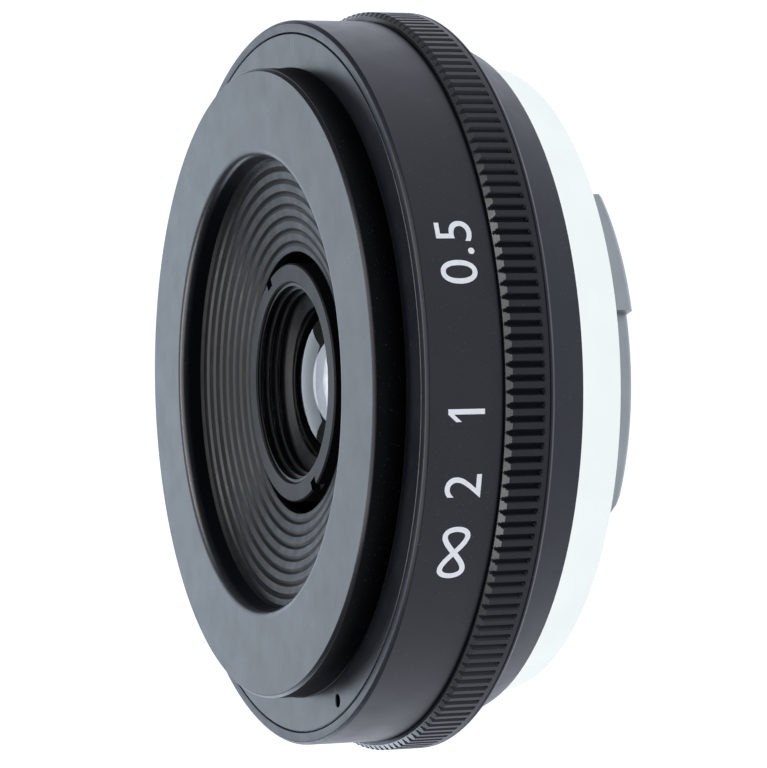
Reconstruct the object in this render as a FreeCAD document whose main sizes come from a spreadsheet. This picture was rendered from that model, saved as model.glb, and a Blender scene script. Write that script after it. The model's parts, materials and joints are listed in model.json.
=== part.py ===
import FreeCAD, Part
import math
import os
import re
import Sketcher

# A compact prime lens for a mirrorless camera, standing on the rear rim of its bayonet.
# The optical axis is Z and the front of the lens faces +Z. Height 0 is the face of the mount's
# flange, so heights below it belong to the bayonet, which goes into the camera.
# Three bodies move: the fixed housing, the focus ring with its cam sleeve (turns about Z), and
# the optical unit, which three rollers lift as the sleeve turns.

document = FreeCAD.newDocument("PrimeLens")
sheet = document.addObject("Spreadsheet::Sheet", "Sizes")

DRIVING_SIZES = [
    # front bezel
    ("front_plane", 23.0, "height of the front face"),
    ("step_plane", 20.0, "height of the barrel's front face"),
    ("bezel_radius", 28.2, "raised front ring, outside"),
    ("bezel_chamfer", 0.28, "rim of the raised ring"),
    ("bezel_fillet", 0.55, "foot of the raised ring"),
    ("mouth_radius", 21.12, "outer edge of the bore's chamfer"),
    ("mouth_depth", 0.85, "height of the bore's chamfer"),
    ("filter_radius", 20.25, "bore for 40.5 mm filters"),
    ("cone_seat", 21.05, "height of the shoulder over the ringed cone"),
    ("counterbore_radius", 21.05, "bore behind the shoulder"),
    ("seam_radius", 31.4, "seam between bezel and barrel"),
    ("seam_gap", 0.06, "width of the seam"),
    ("seam_break", 0.13, "chamfer on each side of the seam"),
    ("spanner_circle", 29.96, "radius of the two spanner holes"),
    ("spanner_radius", 0.56, "spanner hole"),
    ("spanner_depth", 1.1, "spanner hole"),
    ("spanner_angle", -158.9, "direction of the first spanner hole, in degrees from +X"),
    # ringed cone
    ("cone_hole", 11.8, "hole for the optical unit"),
    ("cone_lip", 19.0, "height of the cone at its hole"),
    ("cone_rise", 0.2216, "rise of the cone for each millimetre outwards"),
    ("cone_wall", 0.75, "thickness of the cone under its grooves"),
    ("cone_first_groove", 12.55, "radius of the innermost groove"),
    ("cone_groove_pitch", 1.11, "from groove to groove"),
    ("cone_groove_width", 0.32, "width of a groove"),
    ("cone_groove_depth", 0.34, "depth of a groove"),
    ("cone_seat_width", 0.8, "flat rim under the shoulder"),
    ("cone_rim_height", 1.1, "height of the flat rim"),
    ("cone_nut_height", 1.25, "ring that holds the cone"),
    ("cone_nut_wall", 1.3, "ring that holds the cone"),
    # barrel
    ("barrel_radius", 32.5, "smooth barrel, outside"),
    ("barrel_chamfer", 0.28, "front edge of the barrel"),
    ("barrel_wall", 0.75, "skirt of the barrel"),
    ("barrel_rear", 12.96, "lower edge of the skirt"),
    ("web_top", 18.2, "top of the barrel's inner web"),
    ("web_bottom", 17.0, "underside of the barrel's inner web"),
    ("web_bore", 19.4, "bore of the inner web"),
    ("web_screw_circle", 22.4, "radius of the barrel screws' centres"),
    ("web_screw_radius", 0.7, "shank of a barrel screw"),
    ("web_screw_head", 1.4, "head of a barrel screw"),
    # focus ring
    ("knurl_radius", 33.34, "focus ring over its ribs"),
    ("ring_front", 12.9, "top edge of the focus ring"),
    ("ring_shoulder", 12.56, "height where the front chamfer starts"),
    ("ring_neck", 32.55, "small radius of the front chamfer"),
    ("knurl_end", 9.65, "lower end of the grip grooves"),
    ("ring_rear", 8.65, "lower edge of the focus ring"),
    ("ring_edge", 0.28, "chamfer of the lower edge"),
    ("ring_bore", 30.2, "inside of the focus ring"),
    ("tongue_radius", 31.35, "collar that runs inside the barrel's skirt"),
    ("tongue_top", 13.9, "top of the collar"),
    ("lip_bore", 26.6, "inner lip of the focus ring"),
    ("lip_bottom", 11.5, "underside of the inner lip"),
    ("lip_top", 12.6, "top of the inner lip"),
    ("grip_count", 183, "grooves round the focus ring"),
    ("grip_mouth", 0.66, "width of a groove at the surface"),
    ("grip_floor", 0.12, "width of a groove at its floor"),
    ("grip_depth", 0.65, "depth of a groove"),
    ("cam_screw_circle", 28.2, "radius of the cam screws' centres"),
    ("cam_screw_radius", 0.7, "shank of a cam screw"),
    ("cam_screw_head", 1.2, "head of a cam screw"),
    ("cam_screw_cap", 0.65, "height of a cam screw's head"),
    # cam sleeve
    ("sleeve_bore", 19.1, "runs on the guide tube"),
    ("sleeve_radius", 21.0, "cam sleeve, outside"),
    ("sleeve_bottom", 6.95, "lower end of the cam sleeve"),
    ("sleeve_top", 15.1, "upper end of the cam sleeve"),
    ("sleeve_flange_top", 13.6, "flange that carries the focus ring"),
    ("roller_height", 9.0, "height of the rollers with the lens at infinity"),
    ("focus_travel", 2.1, "lift of the optical unit from infinity to the nearest distance"),
    ("focus_throw", 90, "turn of the focus ring in degrees"),
    ("roller_radius", 1.0, "cam roller"),
    ("roller_play", 0.03, "play of a roller in its slots"),
    ("end_play", 0.02, "play of a roller in the round ends of a cam slot"),
    ("pin_radius", 0.55, "pin inside a roller"),
    # guide tube
    ("guide_bore", 17.05, "the optical unit slides in it"),
    ("guide_radius", 19.05, "guide tube, outside"),
    ("guide_bottom", 3.2, "lower end of the guide tube"),
    ("guide_flange", 15.6, "underside of its front flange"),
    ("guide_flange_radius", 25.0, "front flange"),
    ("slot_run_out", 1.15, "guide slot beyond the roller's centre at each end"),
    ("guide_screw_radius", 0.5, "shank of a guide screw"),
    ("guide_screw_head", 0.95, "head of a guide screw"),
    # rear housing
    ("housing_bottom", 1.75, "lower face of the housing"),
    ("housing_bore", 15.5, "rear opening of the housing"),
    ("housing_ledge", 6.6, "ledge that carries the cam sleeve"),
    ("housing_well", 21.6, "bore round the cam sleeve"),
    ("housing_front", 8.55, "front face of the housing"),
    ("housing_front_radius", 32.12, "large end of the tapered rear ring"),
    ("housing_rear_radius", 30.3, "small end of the tapered rear ring"),
    ("housing_edge", 0.22, "chamfer of the front edge"),
    ("collar_radius", 29.8, "collar under the focus ring that keeps dust out"),
    ("collar_top", 10.9, "top of the dust collar"),
    ("housing_shelf", 4.74, "underside of the tapered rear ring"),
    ("housing_spigot", 27.2, "spigot inside the mount ring"),
    ("stop_groove_inner", 23.6, "arc groove for the stop pin"),
    ("stop_groove_outer", 25.4, "arc groove for the stop pin"),
    ("stop_groove_floor", 7.2, "floor of the arc groove"),
    ("stop_groove_angle", 97, "arc groove, in degrees"),
    ("stop_circle", 24.5, "radius of the stop pin's centre"),
    ("stop_pin_radius", 0.8, "stop pin"),
    ("stop_pin_bottom", 7.45, "lower end of the stop pin"),
    ("stop_pin_angle", -45, "direction of the stop pin at infinity, in degrees from +X"),
    # mount
    ("mount_ring_rear", 28.36, "silver ring at its rear edge"),
    ("mount_ring_front", 29.35, "silver ring at its front edge"),
    ("mount_ring_bottom", 0.22, "rear edge of the silver ring"),
    ("mount_ring_round", 0.4, "rounding of the rear edge"),
    ("flange_radius", 27.7, "bayonet flange"),
    ("flange_height", 1.6, "bayonet flange"),
    ("flange_play", 0.05, "play round the bayonet flange"),
    ("shim_height", 0.15, "shim that sets infinity focus"),
    ("shim_bore", 22.4, "shim"),
    ("spigot_radius", 21.7, "bayonet spigot, outside"),
    ("spigot_bore", 19.6, "bayonet spigot, inside"),
    ("spigot_lip_bore", 18.6, "lip that keeps the rear baffle in"),
    ("spigot_lip_height", 0.5, "lip that keeps the rear baffle in"),
    ("spigot_depth", 4.0, "reach of the bayonet below the flange"),
    ("spigot_chamfer", 0.3, "rear edge of the bayonet"),
    ("claw_radius", 23.05, "bayonet claws, outside"),
    ("claw_front", 1.4, "depth of a claw's front face"),
    ("claw_rear", 3.95, "depth of a claw's rear face"),
    ("claw_chamfer", 0.4, "rear edge of a claw"),
    ("claw_span", 30, "length of a claw in degrees"),
    ("claw_start", 44, "where the first claw starts, in degrees from +X"),
    ("relief_radius", 17.5, "shallow round relief in the rear edge of the spigot"),
    ("relief_depth", 2.0, "relief in the rear edge of the spigot"),
    ("relief_angle", -142, "middle of the relief, in degrees from +X"),
    ("mount_screw_circle", 24.75, "radius of the mount screws' centres"),
    ("mount_screw_radius", 0.85, "shank of a mount screw"),
    ("mount_screw_head", 1.55, "head of a mount screw"),
    ("mount_screw_sink", 0.18, "head below the face of the flange"),
    ("lock_radius", 1.5, "hole for the camera's lock pin"),
    ("lock_depth", 1.2, "hole for the camera's lock pin"),
    ("lock_angle", 60, "direction of the lock pin's hole, in degrees from +X"),
    ("index_radius", 1.1, "mounting index dot"),
    ("index_height", 2.4, "height of the dot's centre"),
    ("index_depth", 0.5, "depth of the dot's seat"),
    # rear baffle
    ("baffle_wall", 0.6, "collar and floor of the rear baffle"),
    ("baffle_play", 0.04, "play round the rear baffle"),
    ("window_width", 25.0, "picture window, along X"),
    ("window_depth", 18.0, "picture window, along Y"),
    # optical unit
    ("carriage_radius", 17.0, "optical unit in the guide tube"),
    ("carriage_wall", 1.4, "outer tube of the optical unit"),
    ("carriage_bottom", 5.0, "lower end of the outer tube"),
    ("carriage_top", 13.8, "top of the web between the tubes"),
    ("carriage_web", 1.2, "web between the tubes"),
    ("core_radius", 9.6, "inner tube, outside"),
    ("core_bore", 7.92, "inner tube, inside"),
    ("core_top", 16.4, "upper end of the inner tube"),
    ("core_bottom", 5.6, "lower end of the inner tube"),
    ("core_lip_bore", 5.2, "lip between the two lens groups"),
    ("core_lip_top", 11.4, "lip between the two lens groups"),
    ("core_lip_bottom", 10.8, "lip between the two lens groups"),
    # front cell and hood
    ("cell_radius", 10.75, "front cell, outside"),
    ("cell_bore", 9.0, "front cell at its face"),
    ("cell_face", 19.6, "face of the front cell"),
    ("cell_edge", 0.14, "chamfers of the front cell"),
    ("cell_floor", 16.45, "ledge over the inner tube"),
    ("notch_width", 1.15, "spanner notch of the front cell"),
    ("notch_depth", 0.8, "spanner notch of the front cell"),
    ("notch_angle", 29, "direction of the first spanner notch, in degrees from +X"),
    ("hood_top", 19.35, "upper end of the stepped hood"),
    ("hood_step", 0.72, "height of a step of the hood"),
    ("hood_run", 0.28, "width of a step of the hood"),
    ("hood_mouth", 8.72, "widest step of the hood"),
    ("hood_throat", 6.93, "smallest radius, over the front element"),
    # glass
    ("glass_radius", 7.88, "all lens elements"),
    ("spacer_bore", 6.7, "rings between the elements"),
    ("front_edge_bottom", 14.7, "front element, seat"),
    ("front_edge_top", 16.1, "front element, rim under the hood"),
    ("front_outer_curve", 15.5, "front element, outer surface"),
    ("front_inner_curve", 9.4, "front element, inner surface"),
    ("front_outer_rise", 2.15, "apex above the rim"),
    ("front_inner_rise", 2.45, "inner hollow above the seat"),
    ("second_bottom", 11.7, "second element, flat side"),
    ("second_edge_top", 12.75, "second element, rim"),
    ("second_rise", 1.6, "second element, apex above its rim"),
    ("second_curve", 19.5, "second element, convex side"),
    ("stop_top", 11.7, "aperture plate"),
    ("stop_hole", 3.15, "aperture plate"),
    ("third_top", 10.8, "third element, rim"),
    ("third_bottom", 9.3, "third element, cemented face"),
    ("third_dip", 1.0, "third element, hollow towards the stop"),
    ("third_curve", 27.0, "third element, hollow side"),
    ("fourth_bottom", 7.5, "fourth element, rim"),
    ("fourth_rise", 1.2, "fourth element, apex below its rim"),
    ("fourth_curve", 26.0, "fourth element, convex side"),
    ("retainer_bottom", 6.3, "ring that holds the rear group"),
    ("retainer_bore", 6.8, "ring that holds the rear group"),
]

for row, (alias, size, meaning) in enumerate(DRIVING_SIZES, start=1):
    sheet.set(f"A{row}", meaning)
    sheet.set(f"B{row}", str(size))
    sheet.setAlias(f"B{row}", alias)
document.recompute()

SUB_PARTS = []


# ---- formulas: sums of sheet sizes and plain numbers, such as "barrel_radius - 0.3" ----

def amount(formula):
    """The value of a formula in millimetres or degrees."""
    total = 0.0
    for term in re.findall(r"[+-]?[^+-]+", formula.replace(" ", "")):
        product = -1.0 if term.startswith("-") else 1.0
        for word in term.lstrip("+-").split("*"):
            product *= sheet.get(word) if word[0].isalpha() else float(word)
        total += product
    return total


def bound(formula):
    """The same formula as an expression that reads the sheet."""
    return re.sub(r"[a-z_]+", lambda word: "Sizes." + word.group(), formula)


def bind(thing, prop, formula):
    thing.setExpression(prop, bound(formula))


def span(high, low):
    """The formula for high less low, where low starts with a word."""
    return f"{high} - " + low.translate(str.maketrans("+-", "-+"))


# ---- building blocks ----

def new_body(label):
    body = document.addObject("PartDesign::Body", label)
    body.Label = label
    SUB_PARTS.append(body)
    return body


def origin_part(body, role):
    return next(part for part in body.Origin.OriginFeatures if part.Role == role)


def new_sketch(body, name, plane):
    sketch = body.newObject("Sketcher::SketchObject", name)
    sketch.AttachmentSupport = [(origin_part(body, plane), "")]
    sketch.MapMode = "FlatFace"
    return sketch


def hold(sketch, kind, target, formula):
    """Adds a dimension that follows a sheet formula."""
    place = sketch.addConstraint(Sketcher.Constraint(kind, *target, amount(formula)))
    sketch.setExpression(f"Constraints[{place}]", bound(formula))


def hold_point(sketch, line, end, across, up):
    """Ties a point to two formulas. A coordinate of "0" puts it on the sketch's axis."""
    for kind, formula, axis in (("DistanceX", across, -2), ("DistanceY", up, -1)):
        if formula == "0":
            sketch.addConstraint(Sketcher.Constraint("PointOnObject", line, end, axis))
        else:
            hold(sketch, kind, (-1, 1, line, end), formula)


def outline(body, name, corners, plane="XZ_Plane", axle=None):
    """A closed outline of straight lines. With axle, a vertical centre line at that distance."""
    sketch = new_sketch(body, name, plane)
    count = len(corners)
    spots = [FreeCAD.Vector(amount(across), amount(up), 0) for across, up in corners]
    for place in range(count):
        sketch.addGeometry(Part.LineSegment(spots[place], spots[(place + 1) % count]), False)
    for place in range(count):
        sketch.addConstraint(Sketcher.Constraint("Coincident", place, 2, (place + 1) % count, 1))
    for place, (across, up) in enumerate(corners):
        hold_point(sketch, place, 1, across, up)
    if axle:
        foot = FreeCAD.Vector(amount(axle), 0, 0)
        head = FreeCAD.Vector(amount(axle), 1, 0)
        line = sketch.addGeometry(Part.LineSegment(foot, head), True)
        sketch.addConstraint(Sketcher.Constraint("Vertical", line))
        sketch.addConstraint(Sketcher.Constraint("PointOnObject", line, 1, -1))
        hold(sketch, "DistanceX", (-1, 1, line, 1), axle)
        hold(sketch, "DistanceY", (line, 1, line, 2), "1")
    return sketch


def disc(body, name, plane, across, up, radius):
    """A sketch of one circle."""
    sketch = new_sketch(body, name, plane)
    centre = FreeCAD.Vector(amount(across), amount(up), 0)
    circle = sketch.addGeometry(Part.Circle(centre, FreeCAD.Vector(0, 0, 1), amount(radius)), False)
    hold_point(sketch, circle, 3, across, up)
    hold(sketch, "Radius", (circle,), radius)
    return sketch


def lift(sketch, height):
    """Moves a sketch along its plane's normal."""
    sketch.AttachmentOffset = FreeCAD.Placement(FreeCAD.Vector(0, 0, amount(height)), FreeCAD.Rotation())
    bind(sketch, "AttachmentOffset.Base.z", height)


def turned(body, name, sketch, kind="Revolution", angle="360", own_axle=False):
    """A solid (Revolution) or a cut (Groove) turned about Z, or about the sketch's centre line."""
    feature = body.newObject("PartDesign::" + kind, name)
    feature.Profile = sketch
    feature.ReferenceAxis = (sketch, ["Axis0" if own_axle else "V_Axis"])
    bind(feature, "Angle", angle)
    return feature


def pocket(body, name, sketch, depth, upwards=False):
    """A cut below the sketch, or above it with upwards."""
    feature = body.newObject("PartDesign::Pocket", name)
    feature.Profile = sketch
    feature.Reversed = upwards
    bind(feature, "Length", depth)
    return feature


def round_the_axis(body, name, features, count, whole="360"):
    """Repeats features at even angles about Z."""
    pattern = body.newObject("PartDesign::PolarPattern", name)
    pattern.Originals = features
    pattern.Axis = (origin_part(body, "Z_Axis"), [""])
    bind(pattern, "Angle", whole)
    bind(pattern, "Occurrences", count)
    body.Tip = pattern
    return pattern


def turned_body(label, corners):
    """A body that is one turned piece, such as a ring."""
    body = new_body(label)
    turned(body, label + "_turning", outline(body, label + "_outline", corners))
    return body


def turn_about_z(angle):
    """A placement turned about Z by a formula in degrees."""
    return FreeCAD.Placement(FreeCAD.Vector(), FreeCAD.Rotation(FreeCAD.Vector(0, 0, 1), amount(angle)))


def face_about_z(body, angle):
    """Turns a finished body about the optical axis."""
    body.Placement = turn_about_z(angle)
    bind(body, "Placement.Rotation.Angle", angle)


def screw_holes(body, name, circle, corners, count):
    """A ring of turned holes, each about its own centre line on the circle."""
    sketch = outline(body, name + "_outline", corners, axle=circle)
    hole = turned(body, name, sketch, "Groove", own_axle=True)
    return round_the_axis(body, name + "_ring", [hole], count)


def screw_set(label, circle, shank, head, tip, seat, top, count, countersunk=True):
    """A ring of slotted screws in one node. They point down where top is above tip."""
    body = new_body(label)
    shoulder = (f"{circle} + {head}", seat)
    if countersunk:
        shoulder = (f"{circle} + {shank}", seat)
    corners = [
        (circle, tip), (f"{circle} + {shank}", tip), shoulder,
        (f"{circle} + {head}", top), (circle, top),
    ]
    if not countersunk:
        corners.insert(2, (f"{circle} + {shank}", seat))
    sketch = outline(body, label + "_outline", corners, axle=circle)
    screw = turned(body, label + "_turning", sketch, own_axle=True)
    half = "0.16"
    driver = outline(body, label + "_driver", [
        (f"{circle} - {head} - 0.2", f"-{half}"), (f"{circle} + {head} + 0.2", f"-{half}"),
        (f"{circle} + {head} + 0.2", half), (f"{circle} - {head} - 0.2", half)], plane="XY_Plane")
    lift(driver, top)
    slot = pocket(body, label + "_slot", driver, "0.35", upwards=amount(top) < amount(tip))
    round_the_axis(body, label + "_ring", [screw, slot], count)


# ---- fixed body: front ----

def make_front_bezel():
    """The flat front face with its raised ring and the bore for filters."""
    body = turned_body("front_bezel", [
        ("counterbore_radius", "web_top"), ("seam_radius - seam_gap", "web_top"),
        ("seam_radius - seam_gap", "step_plane - seam_break"),
        ("seam_radius - seam_gap - seam_break", "step_plane"), ("bezel_radius", "step_plane"),
        ("bezel_radius", "front_plane - bezel_chamfer"),
        ("bezel_radius - bezel_chamfer", "front_plane"), ("mouth_radius", "front_plane"),
        ("filter_radius", "front_plane - mouth_depth"), ("filter_radius", "cone_seat"),
        ("counterbore_radius", "cone_seat"),
    ])
    hole = disc(body, "spanner_circle_sketch", "XY_Plane", "spanner_circle", "0", "spanner_radius")
    lift(hole, "step_plane")
    holes = pocket(body, "spanner_hole", hole, "spanner_depth")
    pattern = round_the_axis(body, "spanner_holes", [holes], "2")
    document.recompute()
    fillet = body.newObject("PartDesign::Fillet", "foot_fillet")
    fillet.Base = (pattern, [circle_name(pattern.Shape, "bezel_radius", "step_plane")])
    bind(fillet, "Radius", "bezel_fillet")
    body.Tip = fillet
    face_about_z(body, "spanner_angle")


def circle_name(shape, radius, height):
    """The name of the round edge with this radius at this height."""
    for place, edge in enumerate(shape.Edges, start=1):
        if edge.Curve.TypeId != "Part::GeomCircle":
            continue
        same_radius = abs(edge.Curve.Radius - amount(radius)) < 1e-4
        if same_radius and abs(edge.Curve.Center.z - amount(height)) < 1e-4:
            return f"Edge{place}"
    raise ValueError(f"no round edge of radius {radius} at {height}")


def make_baffle_cone():
    """The shallow cone round the glass, with concentric grooves that kill reflections."""
    groove_count = 7
    half = "0.5 * cone_groove_width"
    surface = [("cone_hole", "cone_lip")]
    for place in range(groove_count):
        radius = f"cone_first_groove + {place} * cone_groove_pitch"
        rise = (f"cone_rise * cone_first_groove - cone_rise * cone_hole "
                f"+ {place} * cone_rise * cone_groove_pitch")
        surface.append((f"{radius} - {half}", f"cone_lip + {rise} - {half} * cone_rise"))
        surface.append((radius, f"cone_lip + {rise} - cone_groove_depth"))
        surface.append((f"{radius} + {half}", f"cone_lip + {rise} + {half} * cone_rise"))
    turned_body("baffle_cone", surface + [
        ("filter_radius - 0.25", "cone_seat - 0.25"), ("filter_radius", "cone_seat"),
        ("filter_radius + cone_seat_width - 0.05", "cone_seat"),
        ("filter_radius + cone_seat_width - 0.05", "cone_seat - cone_rim_height"),
        ("filter_radius - 0.9", "cone_seat - cone_rim_height"),
        ("cone_hole", "cone_lip - cone_wall"),
    ])


def make_baffle_retainer():
    """The threaded ring that holds the cone against its shoulder."""
    top = "cone_seat - cone_rim_height"
    body = turned_body("baffle_retainer", [
        ("counterbore_radius - cone_nut_wall", top), ("counterbore_radius", top),
        ("counterbore_radius", f"{top} - cone_nut_height"),
        ("counterbore_radius - cone_nut_wall", f"{top} - cone_nut_height"),
    ])
    notch = outline(body, "retainer_notch_outline", [
        ("counterbore_radius - 1.6", "-0.6"), ("counterbore_radius - 0.5", "-0.6"),
        ("counterbore_radius - 0.5", "0.6"), ("counterbore_radius - 1.6", "0.6")], plane="XY_Plane")
    lift(notch, f"{top} - cone_nut_height")
    cut = pocket(body, "retainer_notch", notch, "0.6", upwards=True)
    round_the_axis(body, "retainer_notches", [cut], "2")


def make_front_barrel():
    """The smooth barrel that carries the distance scale. Its web is screwed to the guide tube."""
    body = turned_body("front_barrel", [
        ("web_bore", "web_bottom"), ("barrel_radius - barrel_wall", "web_bottom"),
        ("barrel_radius - barrel_wall", "barrel_rear"), ("barrel_radius", "barrel_rear"),
        ("barrel_radius", "step_plane - barrel_chamfer"),
        ("barrel_radius - barrel_chamfer", "step_plane"),
        ("seam_radius + seam_break", "step_plane"), ("seam_radius", "step_plane - seam_break"),
        ("seam_radius", "web_top"), ("web_bore", "web_top"),
    ])
    circle = "web_screw_circle"
    shank = f"{circle} + web_screw_radius"
    head = f"{circle} + web_screw_head"
    screw_holes(body, "web_hole", circle, [
        (circle, "web_bottom"), (shank, "web_bottom"), (shank, "web_top - web_screw_radius"),
        (head, "web_top"), (circle, "web_top")], "3")


# ---- fixed body: guide tube and rear housing ----

def make_guide_tube():
    """The tube that the optical unit slides in, with a straight slot for each roller."""
    body = turned_body("guide_tube", [
        ("guide_bore", "guide_bottom"), ("guide_radius", "guide_bottom"),
        ("guide_radius", "guide_flange"), ("guide_flange_radius", "guide_flange"),
        ("guide_flange_radius", "web_bottom"), ("guide_bore", "web_bottom"),
    ])
    half = "roller_radius + roller_play"
    slot = new_sketch(body, "guide_slot_outline", "YZ_Plane")
    low = amount("roller_height - slot_run_out") + amount(half)
    high = amount("roller_height + focus_travel + slot_run_out") - amount(half)
    left = FreeCAD.Vector(-amount(half), low, 0)
    right = FreeCAD.Vector(amount(half), high, 0)
    slot.addGeometry(Part.LineSegment(FreeCAD.Vector(left.x, high, 0), left), False)
    slot.addGeometry(Part.LineSegment(FreeCAD.Vector(right.x, low, 0), right), False)
    up = FreeCAD.Vector(0, 0, 1)
    below = Part.Circle(FreeCAD.Vector(0, low, 0), up, amount(half))
    above = Part.Circle(FreeCAD.Vector(0, high, 0), up, amount(half))
    slot.addGeometry(Part.ArcOfCircle(below, math.pi, 2 * math.pi), False)
    slot.addGeometry(Part.ArcOfCircle(above, 0, math.pi), False)
    for first, first_end, second, second_end in ((0, 2, 2, 1), (2, 2, 1, 1), (1, 2, 3, 1), (3, 2, 0, 1)):
        slot.addConstraint(Sketcher.Constraint("Tangent", first, first_end, second, second_end))
    slot.addConstraint(Sketcher.Constraint("PointOnObject", 2, 3, -2))
    slot.addConstraint(Sketcher.Constraint("PointOnObject", 3, 3, -2))
    hold(slot, "Radius", (2,), half)
    hold(slot, "DistanceY", (-1, 1, 2, 3), f"roller_height - slot_run_out + {half}")
    hold(slot, "DistanceY", (-1, 1, 3, 3), "roller_height + focus_travel + slot_run_out "
         "- roller_radius - roller_play")
    cut = pocket(body, "guide_slot", slot, "guide_radius + 1", upwards=True)
    round_the_axis(body, "guide_slots", [cut], "3")
    centre = "0.5 * guide_bore + 0.5 * guide_radius"
    shank = f"{centre} + guide_screw_radius"
    screw_holes(body, "foot_hole", centre, [
        (centre, "guide_bottom"), (shank, "guide_bottom"), (shank, "guide_bottom + 2.4"),
        (centre, "guide_bottom + 2.4")], "3")
    circle = "web_screw_circle"
    screw_holes(body, "flange_hole", circle, [
        (circle, "guide_flange"), (f"{circle} + web_screw_radius", "guide_flange"),
        (f"{circle} + web_screw_radius", "web_bottom"), (circle, "web_bottom")], "3")


def make_rear_housing():
    """The black tapered rear ring in one piece with the block that carries the guide tube."""
    body = turned_body("rear_housing", [
        ("housing_bore", "housing_bottom"), ("housing_spigot", "housing_bottom"),
        ("housing_spigot", "housing_shelf"), ("housing_rear_radius", "housing_shelf"),
        ("housing_front_radius", "housing_front - housing_edge"),
        ("housing_front_radius - housing_edge", "housing_front"),
        ("collar_radius", "housing_front"), ("collar_radius", "collar_top"),
        ("collar_radius - 0.9", "collar_top"), ("collar_radius - 0.9", "housing_front"),
        ("housing_well", "housing_front"), ("housing_well", "housing_ledge"),
        ("guide_radius + 0.05", "housing_ledge"), ("guide_radius + 0.05", "guide_bottom"),
        ("housing_bore", "guide_bottom"),
    ])
    groove = outline(body, "stop_groove_outline", [
        ("stop_groove_inner", "stop_groove_floor"), ("stop_groove_outer", "stop_groove_floor"),
        ("stop_groove_outer", "housing_front + 0.1"), ("stop_groove_inner", "housing_front + 0.1")])
    arc = turned(body, "stop_groove", groove, "Groove", "stop_groove_angle")
    arc.Midplane = True
    circle = "mount_screw_circle"
    shank = f"{circle} + mount_screw_radius"
    screw_holes(body, "mount_thread", circle, [
        (circle, "housing_bottom"), (shank, "housing_bottom"), (shank, "housing_bottom + 3.2"),
        (circle, "housing_bottom + 3.2")], "4")
    centre = "0.5 * guide_bore + 0.5 * guide_radius"
    shank = f"{centre} + guide_screw_radius"
    screw_holes(body, "foot_hole", centre, [
        (centre, "housing_bottom"), (f"{centre} + guide_screw_head", "housing_bottom"),
        (shank, "housing_bottom + 0.5"), (shank, "guide_bottom"), (centre, "guide_bottom")], "3")


# ---- fixed body: mount ----

def make_bayonet():
    """The mount flange with its spigot, three claws, a relief, screw holes and the lock pin's hole."""
    body = turned_body("bayonet", [
        ("spigot_bore", "flange_height"), ("spigot_bore", "spigot_lip_height - spigot_depth"),
        ("spigot_lip_bore", "spigot_lip_height - spigot_depth"),
        ("spigot_lip_bore", "-spigot_depth"), ("spigot_radius - spigot_chamfer", "-spigot_depth"),
        ("spigot_radius", "spigot_chamfer - spigot_depth"), ("spigot_radius", "0"),
        ("flange_radius - 0.2", "0"), ("flange_radius", "0.2"), ("flange_radius", "flange_height"),
    ])
    claw = outline(body, "claw_outline", [
        ("spigot_radius - 0.3", "-claw_rear"), ("claw_radius - claw_chamfer", "-claw_rear"),
        ("claw_radius", "claw_chamfer - claw_rear"), ("claw_radius", "-claw_front"),
        ("spigot_radius - 0.3", "-claw_front")])
    claw.AttachmentOffset = FreeCAD.Placement(
        FreeCAD.Vector(), FreeCAD.Rotation(FreeCAD.Vector(0, 1, 0), amount("claw_start")))
    bind(claw, "AttachmentOffset.Rotation.Angle", "claw_start")
    claws = turned(body, "claw", claw, angle="claw_span")
    round_the_axis(body, "claws", [claws], "3")
    relief = disc(body, "relief_outline", "XZ_Plane", "0",
                  "relief_depth - spigot_depth - relief_radius", "relief_radius")
    relief.AttachmentOffset = FreeCAD.Placement(
        FreeCAD.Vector(), FreeCAD.Rotation(FreeCAD.Vector(0, 1, 0), amount("relief_angle") + 90))
    bind(relief, "AttachmentOffset.Rotation.Angle", "relief_angle + 90")
    pocket(body, "relief", relief, "spigot_radius + 1", upwards=True)
    circle = "mount_screw_circle"
    screw_holes(body, "mount_hole", circle, [
        (circle, "-0.1"), (f"{circle} + 1.6", "-0.1"), (f"{circle} + 1.6", "0.15"),
        (f"{circle} + 0.9", "0.85"), (f"{circle} + 0.9", "flange_height"),
        (circle, "flange_height")], "4")
    lock = disc(body, "lock_outline", "XY_Plane", "mount_screw_circle", "0", "lock_radius")
    lock.AttachmentOffset = turn_about_z("lock_angle")
    bind(lock, "AttachmentOffset.Rotation.Angle", "lock_angle")
    pocket(body, "lock_hole", lock, "lock_depth", upwards=True)


def make_flange_shim():
    body = turned_body("flange_shim", [
        ("shim_bore", "flange_height"), ("housing_spigot", "flange_height"),
        ("housing_spigot", "flange_height + shim_height"), ("shim_bore", "flange_height + shim_height"),
    ])
    circle = "mount_screw_circle"
    screw_holes(body, "shim_hole", circle, [
        (circle, "flange_height"), (f"{circle} + 1", "flange_height"),
        (f"{circle} + 1", "flange_height + shim_height"), (circle, "flange_height + shim_height")], "4")


def make_mount_ring():
    """The silver ring between the rear housing and the camera."""
    shoulder = "flange_height + shim_height + 0.02"
    body = turned_body("mount_ring", [
        ("flange_radius + flange_play", "mount_ring_bottom"),
        ("mount_ring_rear", "mount_ring_bottom"), ("mount_ring_front", "housing_shelf"),
        ("housing_spigot + flange_play", "housing_shelf"), ("housing_spigot + flange_play", shoulder),
        ("flange_radius + flange_play", shoulder),
    ])
    seat = disc(body, "index_seat_outline", "YZ_Plane", "0", "index_height", "index_radius")
    lift(seat, "mount_ring_rear - index_depth")
    cut = pocket(body, "index_seat", seat, "4", upwards=True)
    document.recompute()
    fillet = body.newObject("PartDesign::Fillet", "rear_edge_fillet")
    fillet.Base = (cut, [circle_name(cut.Shape, "mount_ring_rear", "mount_ring_bottom")])
    bind(fillet, "Radius", "mount_ring_round")
    body.Tip = fillet
    face_about_z(body, "90")


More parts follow.
